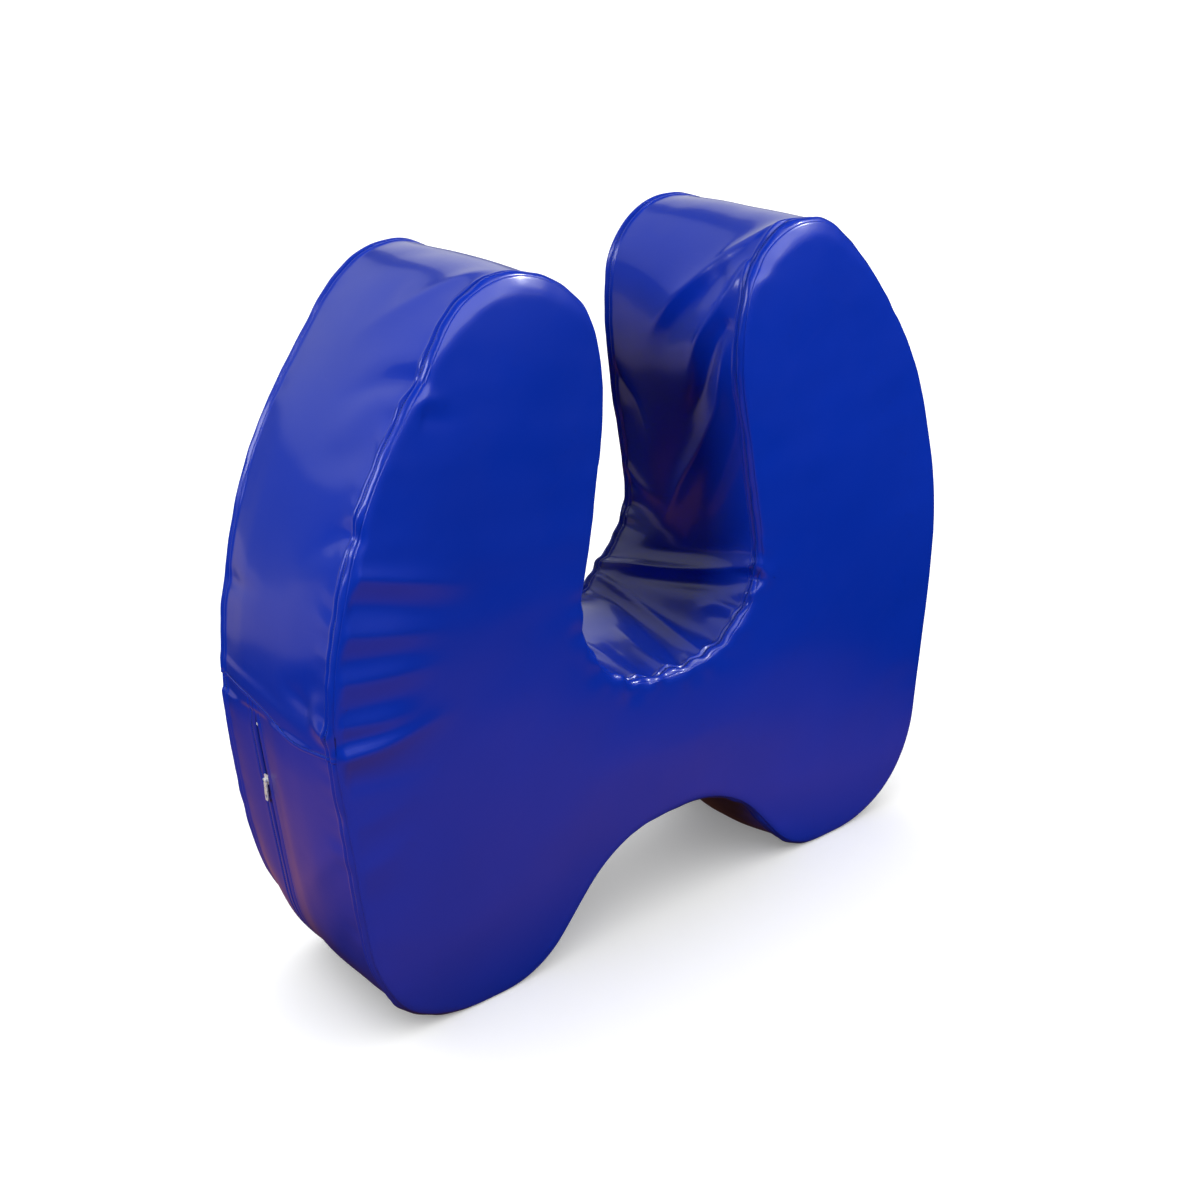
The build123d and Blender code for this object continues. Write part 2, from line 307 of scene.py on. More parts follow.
# Creases of the band, in mm: width, height, sharpness, fades at start and end, points (s, y)
BAND_FOLDS = [
    # left lobe, outside
    (17, 2.6, 0.8, 0.2, 0.5, [(3215, -118), (3311, -66), (3400, 30)]),
    (17, -4.6, 0.8, 0.02, 0.8, [(3408, -135), (3432, -68), (3470, 0)]),
    (22, 2.2, 1.0, 0.1, 0.7, [(3430, -135), (3460, -80), (3520, -20)]),
    (20, 2.2, 1.0, 0.1, 0.7, [(3388, -135), (3400, -80), (3420, -10)]),
    (24, -2.2, 1.0, 0.1, 0.7, [(3500, -130), (3530, -70), (3560, 20)]),
    (18, -4.2, 0.8, 0.02, 0.8, [(3611, -140), (3631, -90), (3670, -30)]),
    (20, 2, 1.0, 0.1, 0.8, [(3640, -135), (3670, -80), (3710, -30)]),
    (14, -4, 0.9, 0.02, 0.8, [(3737, 148), (3735, 90), (3728, 30)]),
    (20, -2.4, 1.0, 0.1, 0.7, [(3800, -135), (3820, -80), (3830, -20)]),
    (12, 5.2, 0.9, 0.02, 0.6, [(3868, -150), (3866, -128), (3856, -90)]),
    (16, -3, 0.9, 0.2, 0.7, [(3848, -100), (3838, -60), (3830, -10)]),
    # left foot
    (20, 2, 1.0, 0.2, 0.6, [(4020, -135), (4080, -70), (4160, 0)]),
    (22, -2.2, 1.0, 0.2, 0.6, [(4140, -135), (4200, -90), (4300, -40)]),
    # right lobe, inside of the notch
    (13, 8.5, 0.62, 0.1, 0.5, [(1640, -140), (1717, -109), (1777, -53), (1827, 3), (1900, 60)]),
    (22, -7, 0.9, 0.15, 0.5, [(1755, -95), (1800, -62), (1850, -10), (1920, 30)]),
    (12, 8, 0.65, 0.08, 0.4, [(1742, -125), (1785, -119), (1827, -92), (1866, -63), (1930, -35)]),
    (14, 7, 0.7, 0.15, 0.4, [(1850, -112), (1895, -112), (1961, -98), (2042, -46), (2100, 0), (2200, 60)]),
    (14, -5.5, 0.9, 0.1, 0.5, [(1830, -118), (1870, -92), (1940, -66), (2010, -20)]),
    (16, -4.5, 0.9, 0.2, 0.5, [(1920, -132), (2000, -118), (2090, -75), (2170, -30)]),
    (14, -4, 0.8, 0.02, 0.7, [(1950, 140), (1990, 90), (2060, 60)]),
    (12, 4, 0.7, 0.05, 0.7, [(2100, 145), (2130, 100), (2150, 30)]),
    # bottom of the notch
    (8.5, 7.5, 0.62, 0.2, 0.04, [(2300, 140), (2278, 78), (2240, -33), (2212, -118), (2202, -140)]),
    (14, -6.5, 0.9, 0.3, 0.05, [(2315, 100), (2297, 60), (2262, -40), (2228, -140)]),
    (17, -4, 0.9, 0.3, 0.2, [(2250, 110), (2235, 50), (2205, -50), (2185, -130)]),
    (10, 6.5, 0.62, 0.1, 0.05, [(2320, 145), (2335, 50), (2352, -55), (2366, -140)]),
    (16, -4.5, 0.9, 0.2, 0.15, [(2335, 120), (2360, 30), (2386, -60), (2400, -140)]),
    (9, 3, 0.8, 0.05, 0.6, [(2275, -130), (2280, -90), (2304, -65)]),
    (8, -2.6, 0.8, 0.05, 0.6, [(2290, -142), (2297, -105), (2305, -80)]),
    (10, 5, 0.66, 0.4, 0.04, [(2405, 20), (2430, -60), (2434, -140)]),
    (13, -3.8, 0.9, 0.4, 0.05, [(2450, 0), (2458, -70), (2462, -140)]),
    (11, 3.6, 0.7, 0.4, 0.05, [(2490, 30), (2486, -60), (2488, -140)]),
    (13, -3.5, 0.9, 0.1, 0.1, [(2530, 140), (2550, 50), (2560, -60), (2550, -140)]),
    (11, 4, 0.7, 0.1, 0.1, [(2580, 140), (2600, 40), (2610, -60), (2600, -140)]),
    # left lobe, inside of the notch
    (15, 5, 0.7, 0.1, 0.6, [(3130, 130), (3080, 70), (3020, -10)]),
    (16, -4, 0.9, 0.1, 0.6, [(3000, -130), (2950, -70), (2880, 0)]),
    (15, 4, 0.7, 0.1, 0.6, [(2780, 130), (2800, 50), (2850, -30)]),
    # right lobe and right side, outside
    (19, 2.2, 0.9, 0.2, 0.6, [(1580, -130), (1500, -50), (1420, 30)]),
    (18, -3.6, 0.8, 0.02, 0.8, [(1360, 135), (1330, 70), (1290, 0)]),
    (18, -3.2, 0.8, 0.02, 0.8, [(1200, 135), (1180, 80), (1150, 20)]),
    (18, -2.8, 0.8, 0.02, 0.8, [(1080, -135), (1070, -80), (1050, -20)]),
    (20, 2.2, 1.0, 0.1, 0.7, [(800, 135), (760, 80), (700, 20)]),
]

# Creases of the panels, the same way with points (x, z)
FRONT_FOLDS = [
    (19, 1.2, 1.0, 0.1, 0.7, [(-515, 714), (-455, 703), (-390, 694)]),
    (16, 4.6, 0.8, 0.12, 0.7, [(-530, 681), (-470, 662), (-420, 648), (-330, 620)]),
    (18, -2.2, 1.0, 0.1, 0.7, [(-535, 645), (-480, 630), (-420, 612), (-340, 595)]),
    (16, 3, 0.8, 0.06, 0.7, [(-545, 608), (-470, 592), (-380, 573)]),
    (16, -1.5, 1.0, 0.1, 0.7, [(-545, 575), (-470, 565), (-400, 555)]),
    (16, 3.2, 0.8, 0.06, 0.7, [(-550, 546), (-470, 538), (-380, 533)]),
    (16, -1.5, 1.0, 0.1, 0.7, [(-550, 512), (-480, 508), (-400, 508)]),
    (14, 2.7, 0.8, 0.06, 0.7, [(-553, 489), (-490, 481), (-420, 482)]),
    (13, -1.8, 1.0, 0.08, 0.7, [(-553, 468), (-490, 462), (-420, 458)]),
    (15.5, 6.5, 0.8, 0.02, 0.75, [(-560, 447), (-500, 448), (-450, 455), (-370, 468)]),
    (19, -2.2, 1.0, 0.1, 0.7, [(-553, 413), (-480, 405), (-400, 400)]),
    (18, 1.5, 0.9, 0.12, 0.7, [(-548, 345), (-490, 352), (-430, 372)]),
    (19, 1.2, 0.9, 0.12, 0.7, [(-544, 275), (-490, 292), (-440, 325)]),
    (12, 1.7, 0.9, 0.1, 0.7, [(-415, 875), (-395, 870), (-360, 865)]),
    (13, -1.2, 0.9, 0.1, 0.7, [(-408, 850), (-375, 842), (-330, 840)]),
]
BACK_FOLDS = [
    (18, 2.8, 0.8, 0.12, 0.7, [(520, 690), (450, 672), (370, 660)]),
    (19, 2.2, 0.9, 0.12, 0.7, [(545, 610), (470, 600), (380, 600)]),
    (18, 2.6, 0.8, 0.12, 0.7, [(553, 530), (480, 522), (400, 530)]),
    (17, 3.6, 0.8, 0.08, 0.7, [(556, 450), (480, 440), (380, 440)]),
    (18, 2.6, 0.8, 0.12, 0.7, [(-553, 500), (-490, 492), (-420, 500)]),
    (18, 3.2, 0.8, 0.08, 0.7, [(-556, 430), (-480, 415), (-400, 420)]),
    (18, 2, 0.9, 0.12, 0.7, [(-500, 735), (-440, 720), (-370, 710)]),
]


# ---------------------------------------------------------------- cloth simulation

CLOTH_STEP = 12 * MM
CLOTH_FRAMES = 20
CLOTH_X = (-0.60, 0.60)  # what a panel's grid covers
CLOTH_Z = (-0.02, 1.02)
MOST_LIFT = 9 * MM


def add_object(name, data):
    """A new object in the scene."""
    thing = bpy.data.objects.new(name, data)
    bpy.context.scene.collection.objects.link(thing)
    return thing


def add_mesh(name, points, faces):
    """A new mesh object in the scene, from points and faces."""
    mesh = bpy.data.meshes.new(name)
    corners = [list(map(int, face)) for face in faces]
    mesh.from_pydata(np.reshape(points, (-1, 3)).tolist(), [], corners)
    return add_object(name, mesh)


def inflate(points, faces, held, slack):
    """Cloth held at some vertices and blown outward: its points after the simulation."""
    cloth = add_mesh("cloth", points, faces)
    pins = cloth.vertex_groups.new(name="held")
    pins.add(np.flatnonzero(held).tolist(), 1.0, "REPLACE")
    loose = cloth.vertex_groups.new(name="loose")
    for step in range(11):
        chosen = np.flatnonzero(np.round(slack * 10).astype(int) == step)
        if len(chosen):
            loose.add(chosen.tolist(), step / 10, "REPLACE")
    modifier = cloth.modifiers.new("cloth", "CLOTH")
    settings = modifier.settings
    settings.quality = 6
    settings.mass = 0.4
    settings.tension_stiffness = settings.compression_stiffness = 60
    settings.shear_stiffness = 20
    settings.bending_stiffness = 3
    settings.vertex_group_mass = "held"
    settings.vertex_group_shrink = "loose"
    settings.shrink_min = -0.001
    settings.shrink_max = -0.012
    settings.use_pressure = True
    settings.uniform_pressure_force = 2.0
    settings.effector_weights.gravity = 0
    modifier.point_cache.frame_start = 1
    modifier.point_cache.frame_end = CLOTH_FRAMES
    for frame_number in range(1, CLOTH_FRAMES + 1):
        bpy.context.scene.frame_set(frame_number)
    settled = cloth.evaluated_get(bpy.context.evaluated_depsgraph_get()).to_mesh()
    result = np.empty(len(points) * 3)
    settled.vertices.foreach_get("co", result)
    bpy.data.meshes.remove(cloth.data)
    bpy.context.scene.frame_set(1)
    return result.reshape(-1, 3)


def lift_at(table, u, v):
    """A table of heights read between its cells, at shares u of its rows and v of its columns."""
    rows, columns = table.shape
    u = np.clip(u * (rows - 1), 0, rows - 1.001)
    v = np.clip(v * (columns - 1), 0, columns - 1.001)
    i, j = u.astype(int), v.astype(int)
    a, b = u - i, v - j
    return (table[i, j] * (1 - a) * (1 - b) + table[i + 1, j] * a * (1 - b)
            + table[i, j + 1] * (1 - a) * b + table[i + 1, j + 1] * a * b)


def grid_faces(rows, columns, closed=False, first=0):
    """Quads of a grid of points, rows by columns, wrapped round the rows if closed."""
    count = rows if closed else rows - 1
    a = np.arange(count)[:, None] * columns + np.arange(columns - 1)[None, :]
    b = (np.arange(count)[:, None] + 1) % rows * columns + np.arange(columns - 1)[None, :]
    return np.stack([a, a + 1, b + 1, b], axis=-1).reshape(-1, 4) + first


def capped(lift):
    """Heights eased so that none passes MOST_LIFT, blurred over neighbouring cells."""
    lift = MOST_LIFT * np.tanh(lift / MOST_LIFT)
    for _ in range(2):
        lift[1:-1] = (lift[:-2] + 2 * lift[1:-1] + lift[2:]) / 4
        lift[:, 1:-1] = (lift[:, :-2] + 2 * lift[:, 1:-1] + lift[:, 2:]) / 4
    return lift


def simulate_band():
    """Blow up the band between its two seams; heights over an (s, y) grid."""
    rows = int(round(LENGTH / CLOTH_STEP))
    s = np.arange(rows) * LENGTH / rows
    y = spaced(PANEL_Y + HELD_IN, HALF_DEPTH - HELD_IN, CLOTH_STEP)
    grid_s, grid_y = np.meshgrid(s, y, indexing="ij")
    xz = on_ring(ring_xz, grid_s)
    points = np.stack([xz[..., 0], grid_y, xz[..., 1]], axis=-1).reshape(-1, 3)
    held = (np.minimum(grid_y - y[0], y[-1] - grid_y) < 2 * MM).ravel()
    z = xz[..., 1]
    held |= (z < 6 * MM).ravel()
    slack = near_notch(grid_s, 0.35, 0.1).ravel()
    moved = inflate(points, grid_faces(rows, len(y), closed=True).tolist(), held, slack)
    normal = on_ring(ring_n, grid_s)
    shift = (moved - points).reshape(rows, len(y), 3)
    lift = shift[..., 0] * normal[..., 0] + shift[..., 2] * normal[..., 1]
    return capped(np.vstack([lift, lift[:1]]))


def simulate_panel():
    """Blow up a panel held at its seam; heights over an (x, z) grid."""
    x = spaced(*CLOTH_X, CLOTH_STEP)
    z = spaced(*CLOTH_Z, CLOTH_STEP)
    grid_x, grid_z = np.meshgrid(x, z, indexing="ij")
    flat = np.column_stack([grid_x.ravel(), grid_z.ravel()])
    depth, _ = seam_distance(flat)
    inside = depth > -0.5 * CLOTH_STEP
    index = np.cumsum(inside) - 1
    faces = grid_faces(len(x), len(z))
    faces = index[faces[inside[faces].all(axis=1)]]
    points = np.column_stack([flat[:, 0], np.full(len(flat), PANEL_Y), flat[:, 1]])[inside]
    held = depth[inside] < HELD_IN
    gather = bell(np.abs(flat[inside][:, 0]) - 0.50, 0.09) * bell(flat[inside][:, 1] - 0.55, 0.2)
    moved = inflate(points, faces[:, ::-1].tolist(), held, gather)
    lift = np.zeros(len(flat))
    lift[inside] = points[:, 1] - moved[:, 1]
    return capped(lift.reshape(grid_x.shape))


def band_height(s, y):
    """How far the band stands out of the silhouette at (s, y), in metres."""
    s, y = np.broadcast_arrays(np.mod(s, LENGTH), y)
    front_out, front_in, _ = seam_path(s)
    back_out, back_in, _ = seam_path(s, back=True)
    front_q = np.maximum(y - (PANEL_Y + front_in), 0)
    back_q = np.maximum(HALF_DEPTH - back_in - y, 0)
    inner = np.minimum(front_q, back_q)
    z = on_ring(ring_xz, s)[..., 1]
    zip_line = np.abs(y - ZIP_Y)
    low = 1 - window(s, RIGHT_HEM, LEFT_HEM, 0.004)
    puff = lift_at(band_lift, s / LENGTH, (y - PANEL_Y - HELD_IN) / (-2 * (PANEL_Y + HELD_IN)))
    height = 2.0 * MM * ramp(inner, 0, 0.11)
    height += low * 3 * MM * ramp(front_q, 0.01, 0.10) * ramp(zip_line, 0.012, 0.075)
    height *= 1 - low * (1 - ramp(zip_line, 0.004, 0.06))
    arch = 1 - window(s, 0.30, LENGTH - 0.30, 0.06)
    height += arch * 6 * MM * ramp(inner, 0.0, 0.09) * ramp(zip_line, 0.006, 0.05)
    height += near_notch(s, 0.40, 0.08) * 4 * MM * ramp(inner, 0.0, 0.09)
    height += front_out * bell(front_q, 0.055) + back_out * bell(back_q, 0.055)
    height += lean(s, y, False) + lean(s, y, True)
    height += seam_relief(front_q, s, False) + seam_relief(back_q, s, True)
    calm = 1 - 0.75 * bell(zip_line, 0.016) * low
    ripple = 0.25 * MM + 1.5 * MM * near_notch(s, 0.27)
    lively = ripple + 0.7 * MM * window(s, 3.30, 4.0, 0.1)
    height += lively * wander(s + 0.15 * y, 41, 0.06) * bell(front_q - 0.018, 0.022)
    height += ripple * wander(s - 0.15 * y, 42, 0.06) * bell(back_q - 0.018, 0.022)
    height += 0.3 * MM * rumple(s, y, 43, 0.19) * ramp(inner, 0, 0.03) * calm
    height += puff * (1 - bell(zip_line, 0.03) * low)
    folds = sum(fold(s, y, *crease) for crease in BAND_FOLDS)
    return height + folds * (0.25 + 0.75 * ramp(inner, 0.0, 0.02)) * calm


def placed(xz, y, lowest=0.0):
    """Points at (x, z) and y, none of them under lowest."""
    return np.stack([xz[..., 0], y, np.maximum(xz[..., 1], lowest)], axis=-1)


def band_point(s, y, more=0.0):
    """The point of the band at (s, y), pushed out by more."""
    s, y = np.broadcast_arrays(s, y)
    out = band_height(s, y) + more
    xz = on_ring(ring_xz, s) + on_ring(ring_n, s) * out[..., None]
    return placed(xz, y, ON_FLOOR)


def panel_height(x, z, d, back):
    """How far a panel stands out at (x, z), d being the distance from its seam."""
    height = 2.0 * MM * ramp(d, 0.0, 0.16)
    u = (x - CLOTH_X[0]) / (CLOTH_X[1] - CLOTH_X[0])
    v = (z - CLOTH_Z[0]) / (CLOTH_Z[1] - CLOTH_Z[0])
    height += lift_at(panel_lift, u, v)
    height += 0.45 * MM * rumple(x, z, 52 if back else 51, 0.17) * ramp(d, 0.0, 0.05)
    folds = sum(fold(x, z, *crease) for crease in (BACK_FOLDS if back else FRONT_FOLDS))
    return height + folds * ramp(d, 0, 0.012)


def panel_rim(s, d, back):
    """A panel's point at distance d from its seam: x, z, its shift outward and its drop."""
    s, d = np.broadcast_arrays(s, d)
    out, inward, roll = seam_path(s, back)
    bend = 3.2 * MM
    soft = bend * np.log1p(np.exp((roll - d) / bend))
    full = bend * np.log1p(np.exp(roll / bend))
    drop = inward * soft / full
    tuck = np.exp(-d / (0.8 * MM))
    ripple = 0.15 * MM + 0.8 * MM * near_notch(s, 0.27)
    drop = drop - ripple * wander(s, 62 if back else 61, 0.065) * bell(d - 0.014, 0.014)
    xz = on_ring(ring_xz, s) - on_ring(ring_n, s) * d[..., None]
    return xz, out * bell(d, 0.05) - 2.4 * MM * tuck, drop + 2.0 * MM * tuck


# ---------------------------------------------------------------- mesh helpers

def side_name(back):
    """The word for a side in the names of pieces."""
    return "back" if back else "front"


def unit(vectors):
    """Rows of vectors, each made one long."""
    return vectors / np.linalg.norm(vectors, axis=1)[:, None]


def in_space(xz):
    """Rows of (x, z) directions as rows of (x, 0, z)."""
    return np.column_stack([xz[:, 0], np.zeros(len(xz)), xz[:, 1]])


def new_piece(name, points, faces):
    """A smooth-shaded piece of the block's own body."""
    piece = add_mesh(name, points, faces)
    piece.data.shade_smooth()
    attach(piece, "root")
    return piece


SEAM_ROWS = np.r_[0, 0.5, 1.0, 1.6, 2.3, np.arange(3, 11, 1.0), 11, 11.6, 12.3, 13, 13.6,
                  np.arange(14.5, 22, 1.1), 24, 27, 31] * MM
LIP_ROWS = np.r_[0, 0.3, 0.6, 0.9, 1.3, 1.8, 2.5, 3.4, 4.5, 6, 7.5, 9, 10, 10.5, 11, 11.5, 12,
                 13, 15, 18, 22] * MM


def strip(s, low_y, high_y, low_rows, high_rows, step=4.5 * MM):
    """Rows of y between two edges that change with s, fine near both edges."""
    middle = int(round((np.mean(high_y - low_y) - low_rows[-1] - high_rows[-1]) / step))
    share = np.linspace(0, 1, middle + 1)[1:-1]
    start = low_y[:, None] + low_rows[-1]
    end = high_y[:, None] - high_rows[-1]
    return np.concatenate([
        low_y[:, None] + low_rows[None, :],
        start + (end - start) * share[None, :],
        high_y[:, None] - high_rows[::-1][None, :],
    ], axis=1)


# ---------------------------------------------------------------- hems and the zip's slit

HEM_ROWS = np.r_[0, 0.4, 0.9, 1.5, 2.3, 3.4, 4.6, 5.2, 5.7, 6.3, 6.8, 8, 10, 12.5, 15.5, 19,
                 23, 27, 31, 35, 39, 43] * MM


def hem_line(y):
    """How far the hem's edge lies up the side from its nominal height."""
    return 0.012 + 0.075 * y - 17 * MM * bell(y + 0.05, 0.075)


def hem_relief(e):
    """Height of the hem at distance e from its edge."""
    turned = np.exp(-e / (0.6 * MM))
    lapped = 1 - ramp(e, 26 * MM, 44 * MM)
    return 1.1 * MM * lapped - 1.6 * MM * turned - 0.55 * MM * bell(e - 6 * MM, 1.1 * MM)


def on_left(s):
    """Whether s is on the left half of the block, where the slider is."""
    return np.mod(s, LENGTH) > LENGTH / 2


def slit_half(s):
    """Half the width of the zip's slit: open above the slider, nearly shut elsewhere."""
    z = on_ring(ring_xz, s)[..., 1]
    opened = 3.3 * MM * window(z, SLIDER_Z - 0.004, 0.424, 0.010)
    below = 1.3 * MM * window(z, 0.235, SLIDER_Z, 0.03)
    return 0.45 * MM + np.where(on_left(s), opened + below, 0)


def coil_apart(s):
    """How far the zip's halves stand from its line, above the slider."""
    z = on_ring(ring_xz, s)[..., 1]
    return np.where(on_left(s), 2.4 * MM * window(z, SLIDER_Z + 0.004, 0.5, 0.012), 0)


def from_hem(s, y):
    """How far (s, y) on the lower band lies below the nearer hem's edge."""
    return np.minimum(s - LEFT_HEM, LENGTH + RIGHT_HEM - s) + hem_line(y)


def tuck_in(below):
    """How far the lower band is drawn in where it goes under a hem."""
    return -1.0 * MM * (1 - ramp(below, 0.0, 0.05))


def lip_relief(t, s):
    """Height of the slit's folded edge at distance t from it."""
    z = on_ring(ring_xz, s)[..., 1]
    lift = 0.7 + 0.5 * window(z, 0.20, 0.42, 0.03)
    return 1.3 * MM * lift * bell(t - 3.0 * MM, 4.2 * MM) - 3.2 * MM * np.exp(-t / (0.7 * MM)) \
        - 0.8 * MM * bell(t - LIP_STITCH, 1.1 * MM) + 0.5 * MM * bell(t - 13.5 * MM, 2.0 * MM)


def make_upper_band():
    """One strip over both lobes and down the notch, hemmed at both ends."""
    span = LEFT_HEM - RIGHT_HEM
    inner = spaced(HEM_ROWS[-1], span - HEM_ROWS[-1], 4.0 * MM)[1:-1]
    along = np.r_[HEM_ROWS, inner, span - HEM_ROWS[::-1]]
    edge = np.minimum(along, span - along)
    nominal = RIGHT_HEM + along
    _, front_in, _ = seam_path(nominal)
    _, back_in, _ = seam_path(nominal, back=True)
    y = strip(nominal, PANEL_Y + front_in, HALF_DEPTH - back_in, SEAM_ROWS, SEAM_ROWS)
    side = np.where(along < span / 2, 1, -1)
    s = nominal[:, None] + (side * (1 - ramp(edge, 0, 0.09)))[:, None] * hem_line(y)
    points = band_point(s, y, hem_relief(edge)[:, None] * np.ones_like(y))
    return new_piece("cover_upper_band", points, grid_faces(*y.shape))


def make_lower_band(back):
    """One strip of the lower band, from hem to hem, between a seam and the zip's slit."""
    under = 0.030
    start = LEFT_HEM - under
    end = LENGTH + RIGHT_HEM + under
    fine_left = spaced(start, start + 0.30, 2.2 * MM)
    s = np.r_[fine_left, spaced(start + 0.30, end, 4.2 * MM)[1:]]
    _, inward, _ = seam_path(np.mod(s, LENGTH), back)
    slit = slit_half(s)
    if back:
        y = strip(s, ZIP_Y + slit, HALF_DEPTH - inward, LIP_ROWS, SEAM_ROWS)
        t = y - (ZIP_Y + slit)[:, None]
    else:
        y = strip(s, PANEL_Y + inward, ZIP_Y - slit, SEAM_ROWS, LIP_ROWS)
        t = (ZIP_Y - slit)[:, None] - y
    s = s[:, None]
    points = band_point(s, y, lip_relief(t, s) + tuck_in(from_hem(s, y)))
    return new_piece("cover_lower_band_" + side_name(back), points, grid_faces(*y.shape))


RIM_ROWS = np.r_[0, 0.4, 0.8, 1.3, 2, 3, 4.2, 5.6, 7, 8.6, 10.4, 12.4, 14.6, 17, 19.6, 22.4,
                 25.4, 28.6, 32] * MM
PANEL_STEP = 5.5 * MM


def make_panel(back):
    """A whole panel: rings of points along its seam, and a field of triangles inside."""
    s = spaced(0, LENGTH, 4.0 * MM)[:-1]
    rim_xz, rim_shift, drop = panel_rim(s[:, None], RIM_ROWS[None, :], back)
    count, rows = drop.shape
    across = np.arange(ring_xz[:, 0].min(), ring_xz[:, 0].max(), PANEL_STEP)
    upward = np.arange(0, ring_xz[:, 1].max(), PANEL_STEP * 0.866)
    gx, gz = np.meshgrid(across, upward)
    gx = gx + (np.arange(len(upward)) % 2)[:, None] * PANEL_STEP / 2
    field = np.column_stack([gx.ravel(), gz.ravel()])
    field = field[seam_distance(field)[0] > RIM_ROWS[-1] + 0.6 * PANEL_STEP]
    everything = np.vstack([rim_xz[:, -1], field])
    edges = [(i, (i + 1) % count) for i in range(count)]
    flat, _, faces, *_ = delaunay_2d_cdt([Vector(p) for p in everything.tolist()], edges, [], 1,
                                         1e-7)
    flat = np.array([tuple(p) for p in flat])
    flat_d, flat_s = seam_distance(flat)
    flat_d = np.maximum(flat_d, RIM_ROWS[-1])
    flat_shift = seam_path(flat_s, back)[0] * bell(flat_d, 0.05)
    xz = np.vstack([rim_xz.reshape(-1, 2), flat[count:]])
    d = np.r_[np.tile(RIM_ROWS, count), flat_d[count:]]
    at = np.r_[np.repeat(s, rows), flat_s[count:]]
    leaning = lean(at, HALF_DEPTH if back else PANEL_Y, back) * bell(d, 0.09)
    shift = np.r_[rim_shift.ravel(), flat_shift[count:]] + leaning
    out = panel_height(xz[:, 0], xz[:, 1], d, back)
    out[:drop.size] -= drop.ravel()
    xz = xz + on_ring(ring_n, at) * shift[:, None]
    inner_index = np.r_[np.arange(count) * rows + rows - 1,
                        count * rows + np.arange(len(flat) - count)]
    polygons = [list(f)[::-1] for f in grid_faces(count, rows, closed=True)]
    polygons += [[int(inner_index[i]) for i in f] for f in faces]
    y = PANEL_Y - out
    if back:
        y = -y
        polygons = [f[::-1] for f in polygons]
    return new_piece(f"cover_{side_name(back)}_panel", placed(xz, y, ON_FLOOR), polygons)


def tie(centres, along, out, length, width, height, sides=6):
    """Points and faces of many small capsules, one at each centre: threads or coil turns."""
    rings = [(-0.46, 0.55), (-0.3, 0.92), (0.0, 1.0), (0.3, 0.92), (0.46, 0.55)]
    angle = np.arange(sides) * 2 * math.pi / sides
    local = np.array([[r * length, c * math.cos(a) * width / 2, c * math.sin(a) * height / 2]
                      for r, c in rings for a in angle])
    local = np.vstack([local, [[-0.5 * length, 0, 0], [0.5 * length, 0, 0]]])
    basis = np.stack([along, np.cross(out, along), out], axis=1)
    points = centres[:, None, :] + np.einsum("vk,nkj->nvj", local, basis)
    size = len(local)
    top = size - 2 - sides
    turns = [(k, (k + 1) % sides) for k in range(sides)]
    quads = [(r + k, r + j, r + sides + j, r + sides + k)
             for r in range(0, top, sides) for k, j in turns]
    caps = [(size - 2, j, k) for k, j in turns] + [(size - 1, top + k, top + j) for k, j in turns]
    shift = (np.arange(len(centres)) * size)[:, None, None]
    faces = (np.array(quads)[None] + shift).reshape(-1, 4).tolist()
    faces += (np.array(caps)[None] + shift).reshape(-1, 3).tolist()
    return points.reshape(-1, 3), faces


def stitch_row(name, s, y, more):
    """A row of separate stitches along a line on the band, given by close samples of it, with a dark
    capsule in each gap between stitches: painted shade of the needle holes.
    """
    pitch = 3.3 * MM
    line = band_point(s, y, more)
    run = np.r_[0, np.cumsum(np.linalg.norm(np.diff(line, axis=0), axis=1))]
    count = int(run[-1] / pitch)
    at = (np.arange(count) + 0.5) * pitch
    centre, ahead = (np.column_stack([np.interp(place, run, line[:, k]) for k in range(3)])
                     for place in (at, at + 0.8 * MM))
    along = unit(ahead - centre)
    out = in_space(on_ring(ring_n, np.interp(at, run, s)))
    out = unit(out - along * np.sum(out * along, axis=1)[:, None])
    rng = np.random.RandomState(len(name))
    along = unit(along + np.cross(out, along) * (rng.rand(count)[:, None] - 0.5) * 0.12)
    centre = centre + out * 0.25 * MM
    centre[:, 2] = np.maximum(centre[:, 2], 0.8 * MM)
    points, faces = tie(centre, along, out, 2.5 * MM, 0.9 * MM, 0.7 * MM)
    # Painted shade: a near-black capsule in each gap stands for the shade inside a needle hole.
    gap = centre + along * pitch / 2 - out * 0.05 * MM
    hole_points, hole_faces = tie(gap, along, out, 1.3 * MM, 1.5 * MM, 0.7 * MM)
    hole_faces = [[i + len(points) for i in face] for face in hole_faces]
    piece = new_piece(name, np.vstack([points, hole_points]), faces + hole_faces)
    piece.data.materials.append(thread)
    piece.data.materials.append(painted_hole_shade)
    slots = np.r_[np.zeros(len(faces), int), np.ones(len(hole_faces), int)]
    piece.data.polygons.foreach_set("material_index", slots)
    return piece


def make_topstitch(back):
    """The row beside the seam, right round the block."""
    s = spaced(0, LENGTH, 1.5 * MM)
    _, inward, _ = seam_path(s, back)
    y = PANEL_Y + inward + STITCH_IN
    above = (s > RIGHT_HEM) & (s < LEFT_HEM)
    edge = np.minimum(s - RIGHT_HEM, LEFT_HEM - s)
    more = np.where(above, hem_relief(np.maximum(edge, 0)), tuck_in(-edge))
    return stitch_row("thread_top_" + side_name(back), s, -y if back else y, more)


def make_zip_stitch(back):
    """The row that holds one of the zip's tapes."""
    s = spaced(LEFT_HEM, LENGTH + RIGHT_HEM, 1.5 * MM)
    t = slit_half(s) + LIP_STITCH
    y = ZIP_Y + t if back else ZIP_Y - t
    shown = from_hem(s, y) > 1 * MM
    s, y = s[shown], y[shown]
    more = lip_relief(LIP_STITCH, s) + tuck_in(from_hem(s, y))
    return stitch_row("thread_zip_" + side_name(back), s, y, more)


